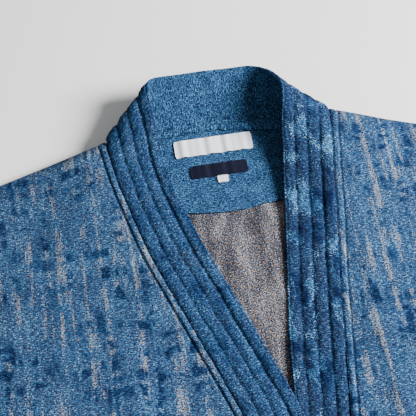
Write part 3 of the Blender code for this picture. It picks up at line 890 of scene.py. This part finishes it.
def stadium(part, width, radius, middle):
    """Give places across and heights round a flattened tube, from its upper fold's end."""
    flat, turn = 0.46, 0.04
    long = width - 2.0 * radius
    half, local = np.floor(part * 2.0 - 1e-9).clip(0, 1), part - np.where(part > 0.5, 0.5, 0.0)
    angle = np.clip((local - flat) / turn, 0.0, 1.0) * np.pi
    straight = np.clip(local / flat, 0.0, 1.0) * long
    across = np.where(local < flat, radius + straight, width - radius + radius * np.sin(angle))
    height = np.where(local < flat, radius, radius * np.cos(angle))
    upper = half < 0.5
    return np.where(upper, across, width - across), middle + np.where(upper, height, -height)


class HAORI_OT_sleeves(bpy.types.Operator):
    """Lay the sleeves as flattened tubes, open at the armhole and at the cuff"""

    bl_idname = "haori.sleeves"
    bl_label = "Sleeves"

    def execute(self, context):
        for name, node, side in (("right_sleeve", "sleeve_right", -1), ("left_sleeve", "sleeve_left", 1)):
            self.lay(context, name, node, side)
        return {"FINISHED"}

    def lay(self, context, name, node, side):
        """Make one sleeve's tube wall."""
        outward = np.array((side * np.cos(SLEEVE_TURN), -np.sin(SLEEVE_TURN)))
        down = np.array((-side * np.sin(SLEEVE_TURN), -np.cos(SLEEVE_TURN)))
        start_x = side * (BODY_HALF + SEAM_GAP)
        top_start = np.array((start_x, SHOULDER_END_Y))
        low_start = np.array((start_x, UNDERARM_Y))
        top_end = top_start + outward * SLEEVE_LENGTH
        low_end = top_end + down * CUFF_WIDTH
        piece = add_grid(name, 112, 76)
        across, along, outer = corner_parts(piece)
        top = top_start + (top_end - top_start) * along[:, None]
        low = low_start + (low_end - low_start) * along[:, None]
        width = np.linalg.norm(low - top, axis=1)
        radius = SLEEVE_WALL + 0.5 * LAYER_GAP
        own = np.where(outer, radius, 0.5 * LAYER_GAP)
        place, height = stadium(across, width - 2.0 * (radius - own), own, radius)
        place = place + radius - own
        spot = top + (low - top) * (place / width)[:, None]
        soft = swell(spot[:, 0], spot[:, 1]) + 0.7 * (1.0 + handling(spot[:, 0], spot[:, 1], 5.0))
        edge = ease(place / 30.0) * ease((width - place) / 30.0)
        hem = context.scene.haori_sizes.hem / MM
        from_cuff = (1.0 - along) * SLEEVE_LENGTH
        groove = HEM_GROOVE * bell(from_cuff - hem, 1.2) * outer
        above = height > radius
        height = height + np.where(above, soft * edge - groove, 0.0)
        points = np.stack((spot[:, 0], spot[:, 1], height), -1)
        flat = np.stack((place + SLEEVE_MAP * side, along * SLEEVE_LENGTH), -1)
        lay_cloth(piece, points, flat, node, "cotton jacquard, washed")


class HAORI_OT_neckband(bpy.types.Operator):
    """Sew the quilted neckband, folded at its lip, from hem to hem round the back neck"""

    bl_idname = "haori.neckband"
    bl_label = "Neckband"

    def execute(self, context):
        outer_part, lip_part = 0.74, 0.03
        piece = add_grid("quilted_neckband", 96, 560, walled=False)
        around, along, _ = corner_parts(piece)
        run = BandRun.runs[0] + (BandRun.runs[-1] - BandRun.runs[0]) * along
        places = np.interp(run, BandRun.runs, BandRun.places)
        outside = np.clip(around / outer_part, 0.0, 1.0)
        back = np.clip((around - outer_part - lip_part) / (1.0 - outer_part - 2.0 * lip_part), 0.0, 1.0)
        across = np.where(around <= outer_part, outside, 1.0 - back)
        closing = np.clip((around - outer_part) / lip_part, 0.0, 1.0)
        opening = np.clip((around - 1.0 + lip_part) / lip_part, 0.0, 1.0)
        quilt = quilt_lift(run, across)
        inner = self.inner_lift(run, across)
        lift = np.where(around <= outer_part, quilt, quilt * (1.0 - closing) + inner * closing)
        lift = np.where(opening > 0.0, quilt * opening + inner * (1.0 - opening), lift)
        points = band_surface(places, across, lift)
        lap = NECK_LAP * bell(across * BAND_WIDE, 4.0) * (1.0 + 0.5 * ripple(run / 12.0, 1.0))
        points[:, 1] -= lap * self.near_neck(run) * closing * (1.0 - opening)
        sag = ease((-points[:, 1] - 60.0) / 60.0)
        points[:, 2] += 0.25 * sag * ripple(run / 70.0, 2.0)
        shape_mesh(piece, points)
        flat = np.stack((np.where(around <= outer_part, 0.0, INNER_MAP) + across * BAND_WIDE, run), -1)
        set_cloth_map(piece, flat)
        self.cap_ends(piece)
        close_piece(piece, 65.0)
        finish_cloth(piece, "neckband_right neckband_neck neckband_left",
                     "cotton jacquard, washed, dark lot")
        self.face_inside(piece)
        return {"FINISHED"}

    def near_neck(self, run):
        """Give the part of the band that stands round the back neck."""
        return 1.0 - ease((np.abs(run) - 95.0) / 40.0)

    def inner_lift(self, run, across):
        """Give the plain inner face: faint lines of the quilting and a rolled seam at the neck."""
        lines = (across * CHANNELS) % 1.0
        faint = 0.3 * bell(np.minimum(lines, 1.0 - lines), 0.09)
        at_neck = self.near_neck(run)
        distance = across * BAND_WIDE
        puckers = 1.0 + 0.55 * ripple(run / 11.0 + distance / 25.0, 1.0)
        roll = -1.8 * puckers * bell(distance - 3.0, 2.4) * at_neck
        crease = 1.5 * puckers * bell(distance - 7.6, 1.4) * at_neck
        soft = 0.35 * ripple(run / 19.0 + across * 1.3, 3.0) * at_neck * ease(across * 6.0)
        return faint + roll + crease + soft

    def cap_ends(self, piece):
        """Close the band at both hems."""
        edit_merged(piece)
        bpy.ops.mesh.select_all(action="DESELECT")
        bpy.ops.mesh.select_non_manifold(extend=False, use_wire=False, use_multi_face=False,
                                         use_non_contiguous=False, use_verts=False)
        bpy.ops.mesh.fill_holes(sides=0)
        bpy.ops.object.mode_set(mode="OBJECT")

    def face_inside(self, piece):
        """Give the band's inside at the back neck the plain melange."""
        piece.data.materials.append(bpy.data.materials["cotton melange, plain"])
        piece.data.materials.append(bpy.data.materials["cotton jacquard, washed, band"])
        layer = piece.data.uv_layers["cloth"].data
        for face in piece.data.polygons:
            places = [layer[index].uv for index in face.loop_indices]
            inside = max(place[0] for place in places) > (INNER_MAP - 0.5) * MM
            face.material_index = 1 if inside else 2 if places[0][1] < 0.0 else 0


class HAORI_OT_labels(bpy.types.Operator):
    """Sew the labels to the yoke facing"""

    bl_idname = "haori.labels"
    bl_label = "Labels"

    def execute(self, context):
        # Columns: slot, material, grid columns and rows, radius of the corners
        looks = {"main_label": ("white_label", "satin label, white", 90, 26, 0.6),
                 "origin_label": ("navy_label", "satin label, navy", 70, 20, 3.2),
                 "size_tab": ("white_label", "satin label, white", 16, 14, 0.6)}
        for node, (slot, material, columns, rows, corner) in looks.items():
            piece = add_grid(f"{node}_satin", columns, rows)
            across, along, upper = corner_parts(piece)
            left, right, top, bottom, buckle = LABELS[node]
            wide = right - left
            x = left + wide * across
            close = 1.0 - np.clip(np.minimum(across, 1.0 - across) * wide / corner, 0.0, 1.0)
            bulge = 0.7 + 0.3 * np.sqrt(1.0 - close**2)
            y = (top + bottom) / 2.0 + (top - bottom) * (along - 0.5) * bulge
            held = ease(across * wide / 7.0) * ease((1.0 - across) * wide / 7.0)
            wave = ripple(x / 15.5, 1.0 + wide / 20.0)
            y = y + 0.7 * held * wave * (0.35 - along) * (buckle > 0.2)
            y = y + np.tan(np.radians(LABEL_TURN)) * x
            edge = np.minimum(np.minimum(across, 1.0 - across) * wide,
                              np.minimum(along, 1.0 - along) * (top - bottom))
            height = LABEL_Z + buckle * 1.5 * held * (1.0 + wave) + 0.25 * np.exp(-edge / 0.8)
            tucked = 0.6 * ease((along - 0.7) / 0.15) * (node == "size_tab")
            height = height + np.where(upper, LABEL_WALL, 0.0) - tucked
            points = np.stack((x, y, height), -1)
            lay_cloth(piece, points, points[:, :2], node, material)
        return {"FINISHED"}


class HAORI_OT_stitching(bpy.types.Operator):
    """Sew the rows of stitches in the neckband's grooves, along its seam and at the edges"""

    bl_idname = "haori.stitching"
    bl_label = "Stitching"

    def execute(self, context):
        runs = []
        reach = np.linspace(BandRun.runs[0] + 4.0, BandRun.runs[-1] - 4.0, 900)
        places = np.interp(reach, BandRun.runs, BandRun.places)
        for across in (0.25, 0.5, 0.75, 1.0 - LIP_STITCH / BAND_WIDE):
            part = np.full_like(places, across)
            quilt = quilt_lift(reach, part)
            line = band_surface(places, part, quilt + STITCH_LIFT)
            up = band_surface(places, part, quilt + (1.0 + STITCH_LIFT)) - line
            runs.append((line, up))
        for side in (-1, 1):
            run = FrontRun(side)
            depth = np.linspace(3.0, run.depth[-1] - 3.0, 500)
            distance = np.full_like(depth, STRIP_WIDTH)
            lift = FRONT_WALL + strip_lift(distance, depth)
            line, _ = run.surface(depth, distance, lift + STITCH_LIFT)
            runs.append((line, np.tile((0.0, 0.0, 1.0), (len(line), 1))))
        stitch_mesh("quilting_stitches", runs)
        stitch_mesh("seam_stitches", self.edge_rows(context))
        return {"FINISHED"}

    def edge_rows(self, context):
        """Give the rows along the yoke's lower edge and the fronts' shoulders, armholes, hems."""
        sunk = FRONT_WALL - STITCH_SUNK
        x = np.linspace(-74.0, 58.0, 200)
        y = yoke_low(x) + YOKE_STITCH
        height = BACK_WALL + SEAM_GAP + YOKE_WALL + yoke_lift(x, y) + STITCH_LIFT
        rows = [np.stack((x, y, height), -1)]
        hem = context.scene.haori_sizes.hem / MM
        for side in (-1, 1):
            run = FrontRun(side)
            end = run.depth[-1]
            part = np.linspace(0.0, 1.0, 300)
            for depth, first in ((SHOULDER_STITCH, 18.0), (end - hem, 10.0)):
                depth = np.full_like(part, depth)
                _, width = run.surface(depth, part, 0.0)
                distance = first + (width - 8.0 - first) * part
                rows.append(run.surface(depth, distance, sunk)[0])
            depth = 10.0 + (ARM_STITCH_DEPTH - 30.0) * part
            _, width = run.surface(depth, part, 0.0)
            rows.append(run.surface(depth, width - ARM_STITCH, sunk)[0])
        return [(row, np.tile((0.0, 0.0, 1.0), (len(row), 1))) for row in rows]


class HAORI_OT_stage(bpy.types.Operator):
    """Set the pale surface, the soft studio light and the camera"""

    bl_idname = "haori.stage"
    bl_label = "Stage"

    def execute(self, context):
        select_none()
        bpy.ops.mesh.primitive_plane_add(size=FLOOR_SIZE, location=(0.0, 0.0, FLOOR_Z))
        floor = context.object
        floor.name = "pale_surface"
        bpy.ops.object.transform_apply(location=True, rotation=False, scale=False)
        floor.data.materials.append(bpy.data.materials["seamless paper, matt"])
        self.set_camera(context)
        self.set_lights(context)
        select_none()
        return {"FINISHED"}

    def set_camera(self, context):
        """Look down on the neck from the hem's side, as the photograph does."""
        back = Vector((np.sin(CAMERA_AZIMUTH) * np.cos(CAMERA_ELEVATION),
                       -np.cos(CAMERA_AZIMUTH) * np.cos(CAMERA_ELEVATION),
                       np.sin(CAMERA_ELEVATION)))
        aim = Vector(in_metres(CAMERA_AIM).tolist())
        bpy.ops.object.camera_add(location=aim + back * CAMERA_DISTANCE * MM)
        camera = context.object
        camera.name = "photo_camera"
        camera.rotation_euler = back.to_track_quat("Z", "Y").to_euler()
        camera.data.lens = CAMERA_LENS
        camera.data.sensor_width = CAMERA_SENSOR
        camera.data.clip_end = 20.0
        context.scene.camera = camera

    def set_lights(self, context):
        """Light from the viewer's right at a low slant, with a weak even fill."""
        aim = Vector(in_metres(LIGHT_AIM).tolist())
        towards = Vector((np.cos(LIGHT_SLANT) * np.cos(LIGHT_TURN),
                          np.cos(LIGHT_SLANT) * np.sin(LIGHT_TURN), np.sin(LIGHT_SLANT)))
        bpy.ops.object.light_add(type="AREA", location=aim + towards * LIGHT_FAR)
        key = context.object
        key.name = "softbox"
        key.rotation_euler = towards.to_track_quat("Z", "Y").to_euler()
        key.data.shape = "DISK"
        key.data.size = LIGHT_SIZE
        key.data.energy = LIGHT_POWER
        key.data.color = LIGHT_COLOUR
        world = bpy.data.worlds.new("soft_fill")
        context.scene.world = world
        world.use_nodes = True
        background = world.node_tree.nodes["Background"]
        background.inputs["Color"].default_value = FILL_COLOUR
        background.inputs["Strength"].default_value = FILL_STRENGTH


class HAORI_PT_panel(bpy.types.Panel):
    """Lists the steps that dress the haori shirt"""

    bl_idname = "HAORI_PT_panel"
    bl_label = "Haori shirt"
    bl_space_type = "VIEW_3D"
    bl_region_type = "UI"
    bl_category = "Haori"

    def draw(self, context):
        for step in STEPS:
            self.layout.operator(step.bl_idname)
        for group in (context.scene.haori_sizes, context.scene.haori_colours):
            for name in group.bl_rna.properties.keys():
                if name not in ("rna_type", "name"):
                    self.layout.prop(group, name)


STEPS = (HAORI_OT_cloths, HAORI_OT_back, HAORI_OT_yoke, HAORI_OT_fronts, HAORI_OT_sleeves,
         HAORI_OT_neckband, HAORI_OT_labels, HAORI_OT_stitching, HAORI_OT_stage)
CLASSES = (HaoriSizes, HaoriColours, *STEPS, HAORI_PT_panel)


def register():
    for each in CLASSES:
        bpy.utils.register_class(each)
    bpy.types.Scene.haori_sizes = bpy.props.PointerProperty(type=HaoriSizes)
    bpy.types.Scene.haori_colours = bpy.props.PointerProperty(type=HaoriColours)


def unregister():
    del bpy.types.Scene.haori_colours
    del bpy.types.Scene.haori_sizes
    for each in reversed(CLASSES):
        bpy.utils.unregister_class(each)


def main():
    register()
    select_none()
    for step in STEPS:
        group, name = step.bl_idname.split(".")
        getattr(getattr(bpy.ops, group), name)()


if __name__ == "__main__":
    main()
